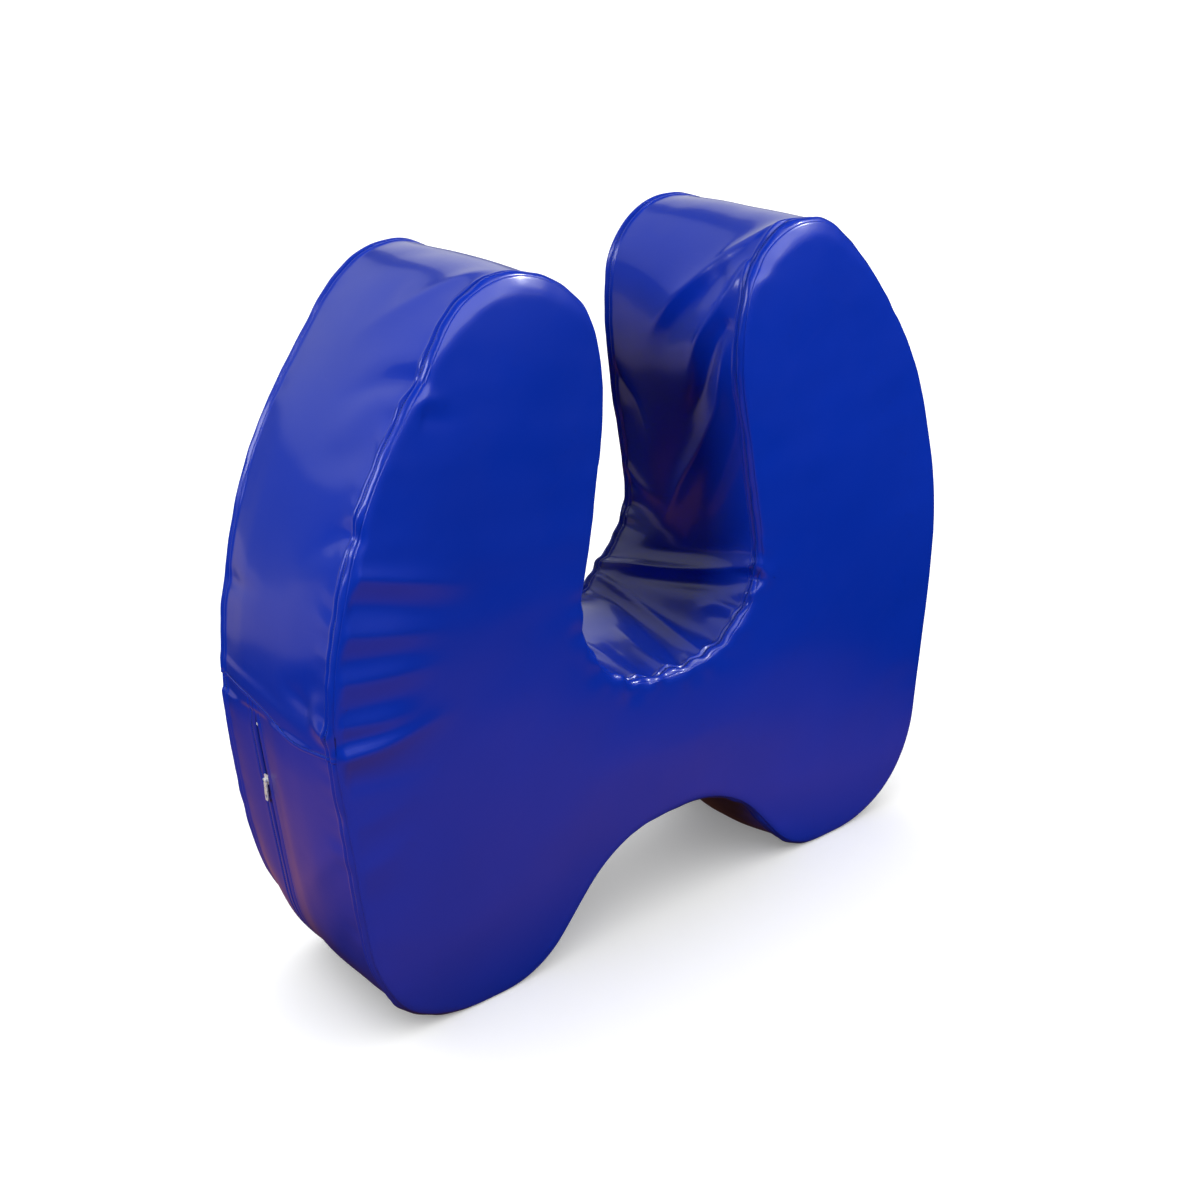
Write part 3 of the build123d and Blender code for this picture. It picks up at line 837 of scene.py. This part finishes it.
def make_lap_stitch(left):
    """The row across a hem, from seam to seam."""
    y = spaced(PANEL_Y + HELD_IN, HALF_DEPTH - HELD_IN, 1.5 * MM)
    e = 6 * MM
    offset = hem_line(y) * (1 - ramp(e, 0, 0.09)) + e
    s = LEFT_HEM - offset if left else RIGHT_HEM + offset
    return stitch_row("thread_lap_left" if left else "thread_lap_right", s, y,
                      np.full(len(y), hem_relief(e)))


def make_tape(back):
    """A woven tape under one edge of the slit, with a beaded inner edge."""
    s = spaced(LEFT_HEM - 0.01, LENGTH + RIGHT_HEM + 0.01, 3 * MM)[:, None]
    cross = np.r_[0, 0.5, 1.2, 2.2, 4, 7, 11, 16] * MM
    bead = np.r_[-0.5, 0.05, 0.1, 0, 0, 0, 0, 0] * MM
    sign = 1 if back else -1
    y = ZIP_Y + sign * (coil_apart(s) + 0.25 * MM + cross)
    xz = on_ring(ring_xz, s) + on_ring(ring_n, s) * (bead - 2.6 * MM)[:, None]
    points = placed(xz, y, 0.5 * MM)
    return new_piece("zipper_tape_" + side_name(back), points, grid_faces(*y.shape))


def make_coil(back):
    """The coil's turns along the tape's inner edge, on its hidden side."""
    s = spaced(LEFT_HEM, LENGTH + RIGHT_HEM, 2.4 * MM)
    normal = on_ring(ring_n, s)
    sign = 1 if back else -1
    xz = on_ring(ring_xz, s) - normal * 3.9 * MM
    y = ZIP_Y + sign * (coil_apart(s) + 1.5 * MM)
    centre = placed(xz, y, 2 * MM) + in_space(normal[:, ::-1] * [1, -1]) * sign * 0.6 * MM
    along = np.tile([0.0, 1.0, 0.0], (len(s), 1))
    points, faces = tie(centre, along, in_space(normal), 3.6 * MM, 1.1 * MM, 1.4 * MM)
    return new_piece("zipper_coil_" + side_name(back), points, faces)


def make_foam():
    """The foam core, rounded off inside the cover."""
    s = spaced(0, LENGTH, 9 * MM)[:-1, None]
    corner = 12 * MM
    rise = np.sin(np.linspace(0, math.pi / 2, 5))
    edge_y = 14 * MM - HALF_DEPTH + corner * rise
    edge_in = 11 * MM + corner * (1 - np.sqrt(1 - (1 - rise) ** 2))
    y = np.tile(np.r_[edge_y, -edge_y[::-1]], (len(s), 1))
    out = lean(s, y, False) + lean(s, y, True) - np.r_[edge_in, edge_in[::-1]]
    xz = on_ring(ring_xz, s) + on_ring(ring_n, s) * out[..., None]
    count, rows = y.shape
    faces = grid_faces(count, rows, closed=True).tolist()
    faces.append([i * rows for i in range(count)])
    faces.append([i * rows + rows - 1 for i in reversed(range(count))])
    return new_piece("foam_block", placed(xz, y), faces)


# ---------------------------------------------------------------- materials

def put(node, values):
    """Set a node's inputs, or else its properties; an underscore stands for a space."""
    for key, value in values.items():
        socket = key.replace("_", " ")
        if socket in node.inputs:
            node.inputs[socket].default_value = value
        else:
            setattr(node, key, value)


def node_material(name, **values):
    """A new material, its node tree and its Principled shader, with some inputs set."""
    material = bpy.data.materials.new(name)
    material.use_nodes = True
    tree = material.node_tree
    put(tree.nodes["Principled BSDF"], values)
    return material, tree, tree.nodes["Principled BSDF"]


def add_node(tree, kind, **values):
    """A shader node with its inputs or properties set."""
    node = tree.nodes.new("ShaderNode" + kind)
    put(node, values)
    return node


def mapped(tree, **values):
    """Object-space coordinates, moved and scaled."""
    mapping = add_node(tree, "Mapping", **values)
    tree.links.new(add_node(tree, "TexCoord").outputs["Object"], mapping.inputs["Vector"])
    return mapping.outputs["Vector"]


def texture(tree, kind, place=None, **values):
    """A procedural texture's value, in object space unless a place is given."""
    node = add_node(tree, "Tex" + kind, **values)
    place = place or add_node(tree, "TexCoord").outputs["Object"]
    tree.links.new(place, node.inputs["Vector"])
    return node.outputs["Distance" if kind == "Voronoi" else "Fac"]


def two_tone(tree, source, first, second, stops=(0, 1)):
    """A colour that goes from first to second as a socket goes from stop to stop."""
    node = add_node(tree, "ValToRGB")
    for element, stop, colour in zip(node.color_ramp.elements, stops, (first, second)):
        element.position = stop
        element.color = (*colour, 1)
    tree.links.new(source, node.inputs["Fac"])
    return node.outputs["Color"]


def rescaled(tree, source, **values):
    """A socket's value on another scale."""
    node = add_node(tree, "MapRange", **values)
    tree.links.new(source, node.inputs["Value"])
    return node.outputs["Result"]


def add_bump(tree, shader, source, strength):
    """Fine relief of the shaded surface."""
    bump = add_node(tree, "Bump", Strength=strength, Distance=0.2 * MM)
    tree.links.new(source, bump.inputs["Height"])
    tree.links.new(bump.outputs["Normal"], shader.inputs["Normal"])


def vinyl_material():
    """Glossy royal-blue PVC sheet: faint grain, slow tone changes, smears and fine scratches."""
    material, tree, shader = node_material(
        "royal_blue_vinyl", Specular_IOR_Level=0.42, Coat_Weight=0.4, Coat_Roughness=0.14)
    link = tree.links.new
    slow = texture(tree, "Noise", Scale=3.2, Detail=3.0, Roughness=0.55)
    tone = two_tone(tree, slow, (0.0010, 0.0245, 0.372), (0.0012, 0.0275, 0.415), (0.30, 0.72))
    slant = mapped(tree, vector_type="TEXTURE", Rotation=(0.0, -0.62, 0.0),
                   Scale=(0.30, 0.10, 0.006))
    scratch = texture(tree, "Noise", slant, Scale=2.0, Detail=1.0, Roughness=0.5)
    weak = add_node(tree, "Math", operation="MULTIPLY")
    weak.inputs[1].default_value = 0.12
    link(two_tone(tree, scratch, (0, 0, 0), (1, 1, 1), (0.66, 0.80)), weak.inputs[0])
    scuffed = add_node(tree, "Mix", data_type="RGBA")
    link(weak.outputs[0], scuffed.inputs["Factor"])
    link(tone, scuffed.inputs[6])
    scuffed.inputs[7].default_value = (0.030, 0.050, 0.42, 1)
    link(scuffed.outputs[2], shader.inputs["Base Color"])
    smear = texture(tree, "Noise", Scale=11.0, Detail=5.0, Roughness=0.6)
    gloss = rescaled(tree, smear, From_Min=0.3, From_Max=0.7, To_Min=0.31, To_Max=0.39)
    link(gloss, shader.inputs["Roughness"])
    both = add_node(tree, "Math", operation="ADD")
    link(texture(tree, "Voronoi", Scale=620.0), both.inputs[0])
    link(texture(tree, "Noise", Scale=240.0, Detail=2.0), both.inputs[1])
    add_bump(tree, shader, both.outputs[0], 0.10)
    return material


def woven_material(name, colour, scale):
    """Fine woven or twisted thread, in one colour, lighter where the weave's relief is high and darker
    where it is low.
    """
    material, tree, shader = node_material(name, Roughness=0.62)
    weave = texture(tree, "Wave", Scale=scale, Distortion=0.6, Detail=1.0,
                    bands_direction="DIAGONAL")
    tone = two_tone(tree, weave, [c * 0.55 for c in colour], [min(1, c * 1.25) for c in colour])
    tree.links.new(tone, shader.inputs["Base Color"])
    add_bump(tree, shader, weave, 0.5)
    return material


def foam_material():
    """Open-cell foam with small pores; its real colour is not known, and it is made near-black so that the
    zip's slit shows dark.
    """
    material, tree, shader = node_material("charcoal_foam", Roughness=0.95)
    cells = texture(tree, "Voronoi", Scale=900.0)
    tone = two_tone(tree, cells, (0.006, 0.006, 0.007), (0.022, 0.022, 0.026))
    tree.links.new(tone, shader.inputs["Base Color"])
    return material


def plated_material():
    """Bright nickel plate with fine wear."""
    material, tree, shader = node_material("nickel_plate", Metallic=0.3)
    wear = texture(tree, "Noise", Scale=420.0, Detail=4.0)
    tree.links.new(rescaled(tree, wear, To_Min=0.16, To_Max=0.42), shader.inputs["Roughness"])
    tone = two_tone(tree, wear, (0.80, 0.80, 0.79), (0.97, 0.97, 0.96))
    tree.links.new(tone, shader.inputs["Base Color"])
    return material


def nylon_material():
    """Dark blue nylon of the coils."""
    material, tree, shader = node_material("nylon_coil", Roughness=0.35)
    cloud = texture(tree, "Noise", Scale=90.0, Detail=2.0)
    tone = two_tone(tree, cloud, (0.003, 0.006, 0.045), (0.006, 0.012, 0.10))
    tree.links.new(tone, shader.inputs["Base Color"])
    return material


# ---------------------------------------------------------------- build the pieces

vinyl = vinyl_material()
thread = woven_material("blue_thread", (0.020, 0.075, 0.55), 1500)
# Near-black, for the needle holes: painted shade.
painted_hole_shade = woven_material("needle_hole_painted_shade", (0.0010, 0.0035, 0.040), 700)
tape_cloth = woven_material("zipper_tape_cloth", (0.004, 0.008, 0.07), 900)
foam_look = foam_material()
plate = plated_material()
nylon = nylon_material()


def dress(piece, material, node):
    """Give a piece its material, if it has none, and hide the CAD node that it stands for."""
    if not piece.data.materials:
        piece.data.materials.append(material)
    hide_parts(node)


band_lift = simulate_band()
panel_lift = simulate_panel()
soft_pieces = [
    (make_panel(back=False), vinyl, "blue_vinyl", "front_panel"),
    (make_panel(back=True), vinyl, "blue_vinyl", "back_panel"),
    (make_upper_band(), vinyl, "blue_vinyl", "upper_band"),
    (make_lower_band(back=False), vinyl, "blue_vinyl", "lower_band_front"),
    (make_lower_band(back=True), vinyl, "blue_vinyl", "lower_band_back"),
    (make_foam(), foam_look, "foam", "foam_core"),
]
for piece, material, slot, node in soft_pieces:
    dress(piece, material, node)
for place, back in (("front", False), ("back", True)):
    dress(make_topstitch(back), thread, f"topstitch_{place}")
    dress(make_zip_stitch(back), thread, f"zip_stitch_{place}")
    dress(make_tape(back), tape_cloth, f"zip_tape_{place}")
    dress(make_coil(back), nylon, f"zip_coil_{place}")
for place, left in (("left", True), ("right", False)):
    dress(make_lap_stitch(left), thread, f"lap_stitch_{place}")
for name in ("zip_slider", "zip_pull", "zip_top_stop", "zip_bottom_stop"):
    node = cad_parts[name]
    node.data.materials.clear()
    node.data.materials.append(plate)


# ---------------------------------------------------------------- studio

BLOCK_PLACE = (0.42, 0.28)  # the block's middle, seen from the middle of the brown board


def flat_sheet(name, size, height, material):
    """A square sheet lying level, part of the studio."""
    corners = [(x * size, y * size, height) for x, y in ((-1, -1), (1, -1), (1, 1), (-1, 1))]
    sheet = add_mesh(name, corners, [(0, 1, 2, 3)])
    sheet.data.materials.append(material)
    return sheet


def reflected_sheet(name, size, height, material, place):
    """A level sheet at a place, which only reflections see."""
    sheet = flat_sheet(name, size, height, material)
    sheet.location = place
    sheet.visible_camera = sheet.visible_shadow = sheet.visible_diffuse = False


def soft_light(name, place, aim, size, power):
    """A rectangular soft box at a place, aimed at a point."""
    data = bpy.data.lights.new(name, "AREA")
    data.shape = "RECTANGLE"
    data.size, data.size_y = size
    data.energy = power
    lamp = add_object(name, data)
    lamp.location = place
    lamp.rotation_euler = (Vector(aim) - Vector(place)).to_track_quat("-Z", "Y").to_euler()
    return lamp


def only_for(lamp, *receivers):
    """Let a lamp light only these objects."""
    group = bpy.data.collections.new(lamp.name + "_lit")
    for thing in receivers:
        group.objects.link(thing)
    lamp.light_linking.receiver_collection = group


def painted_floor_glow():
    """A warm glow standing in for a lit brown floor seen in reflections: painted light, fading far from
    the board's middle, with painted shadow right under the block.
    """
    material, tree, shader = node_material(
        "studio_boards_painted_glow", Base_Color=(0, 0, 0, 1), Roughness=1.0, Specular_IOR_Level=0.0)
    # Painted light: a pool of glow, bright in the board's middle and fading to its edges.
    wide = mapped(tree, Scale=(0.66, 0.66, 0.66))
    painted_glow_pool = texture(tree, "Gradient", wide, gradient_type="SPHERICAL")
    tone = two_tone(tree, painted_glow_pool, (0, 0, 0), (0.52, 0.19, 0.10), (0.06, 0.50))
    tree.links.new(tone, shader.inputs["Emission Color"])
    # Painted shadow: the glow is dimmed right under the block, where a lit floor would lie in its shade.
    x, y = BLOCK_PLACE
    under = mapped(tree, Location=(-x, -3 * y, 0), Scale=(1, 3, 1))
    painted_shadow_under_block = texture(tree, "Gradient", under, gradient_type="SPHERICAL")
    level = rescaled(tree, painted_shadow_under_block, From_Max=0.45, To_Min=0.92, To_Max=0.10)
    tree.links.new(level, shader.inputs["Emission Strength"])
    return material


def make_studio(block):
    """A white floor under its own suns, and lamps and reflected boards for the block alone; the brown
    board's glow is painted light with painted shadow under the block.
    """
    white, *_ = node_material(
        "studio_floor", Base_Color=(0.92, 0.92, 0.92, 1), Roughness=1.0, Specular_IOR_Level=0.0,
        Emission_Color=(1, 1, 1, 1), Emission_Strength=0.20)
    floor = flat_sheet("studio_floor", 60, 0.0, white)
    floor.visible_glossy = floor.visible_diffuse = False
    x, y = BLOCK_PLACE
    # The brown board glows with painted light and painted shadow under the block; only reflections see it.
    reflected_sheet("studio_boards_painted_glow", 1.9, -2 * MM, painted_floor_glow(), (-x, -y, 0))
    grey, *_ = node_material("studio_far_boards", Base_Color=(0, 0, 0, 1),
                             Emission_Color=(0.56, 0.44, 0.37, 1), Emission_Strength=1.0)
    reflected_sheet("studio_far_boards", 2.3, -3 * MM, grey, (-3.1, 3.6, 0))
    for name, power, spread, tilt in (("studio_sun", 3.85, 130, 0),
                                      ("studio_sun_low", 0.45, 60, -35)):
        sun = bpy.data.lights.new(name, "SUN")
        sun.energy = power
        sun.angle = math.radians(spread)
        sun_lamp = add_object(name, sun)
        sun_lamp.rotation_euler = (math.radians(tilt), 0, 0)
        only_for(sun_lamp, floor)
    for lamp in (
        soft_light("studio_key", (1.5, -2.6, 1.75), (0.05, 0, 0.85), (1.2, 1.2), 90),
        soft_light("studio_left", (-2.8, -0.6, 2.15), (-0.3, 0, 0.75), (1.0, 1.0), 84),
        soft_light("studio_over", (0.75, 0.2, 3.4), (0, 0, 0.9), (0.8, 0.8), 32),
        soft_light("studio_behind", (0.0, 3.6, 0.75), (0, 0, 0.7), (0.9, 0.9), 62),
    ):
        lamp.visible_glossy = False
        only_for(lamp, *block)
    for lamp in (
        soft_light("studio_window", (-1.2, 2.1, 3.1), (-0.4, 0, 0.8), (3.6, 4.2), 36),
        soft_light("studio_wall", (-2.2, 3.3, 0.72), (-0.3, 0, 0.6), (3.2, 1.3), 2.2),
        soft_light("studio_backdrop", (2.3, 2.9, 2.2), (0.2, 0, 0.8), (2.6, 2.4), 20),
        soft_light("studio_front", (0.2, -3.4, 2.5), (0, 0, 0.8), (3.6, 1.8), 62),
        soft_light("studio_spark", (2.35, -1.95, 3.1), (0, 0, 0.7), (0.45, 0.45), 80),
        soft_light("studio_glint", (-3.0, -0.3, 1.95), (-0.5, -0.1, 0.6), (1.7, 1.0), 40),
    ):
        lamp.visible_diffuse = False
        only_for(lamp, *block)
    world = bpy.data.worlds.new("studio_world")
    world.use_nodes = True
    put(world.node_tree.nodes["Background"], {"Color": (0.60, 0.66, 0.80, 1), "Strength": 0.015})
    scene = bpy.context.scene
    scene.world = world
    scene.view_settings.view_transform = "Standard"
    scene.view_settings.look = "None"


def make_camera():
    """The camera, at the front left, a little above the block."""
    yaw, pitch, roll = (math.radians(a) for a in (39.32, 22.35, -1.10))
    level = math.cos(pitch)
    ahead = Vector((math.sin(yaw) * level, math.cos(yaw) * level, -math.sin(pitch)))
    right = Vector((math.cos(yaw), -math.sin(yaw), 0))
    up = right.cross(ahead)
    across = right * math.cos(roll) + up * math.sin(roll)
    upright = up * math.cos(roll) - right * math.sin(roll)
    data = bpy.data.cameras.new("camera")
    data.lens = 50.8
    data.sensor_width = 36
    camera = add_object("camera", data)
    turn = Matrix((across, upright, -ahead)).transposed().to_4x4()
    camera.matrix_world = Matrix.Translation((-1.470, -1.776, 1.408)) @ turn
    bpy.context.scene.camera = camera


make_studio([thing for thing in bpy.context.scene.objects if thing.type == "MESH"])
make_camera()
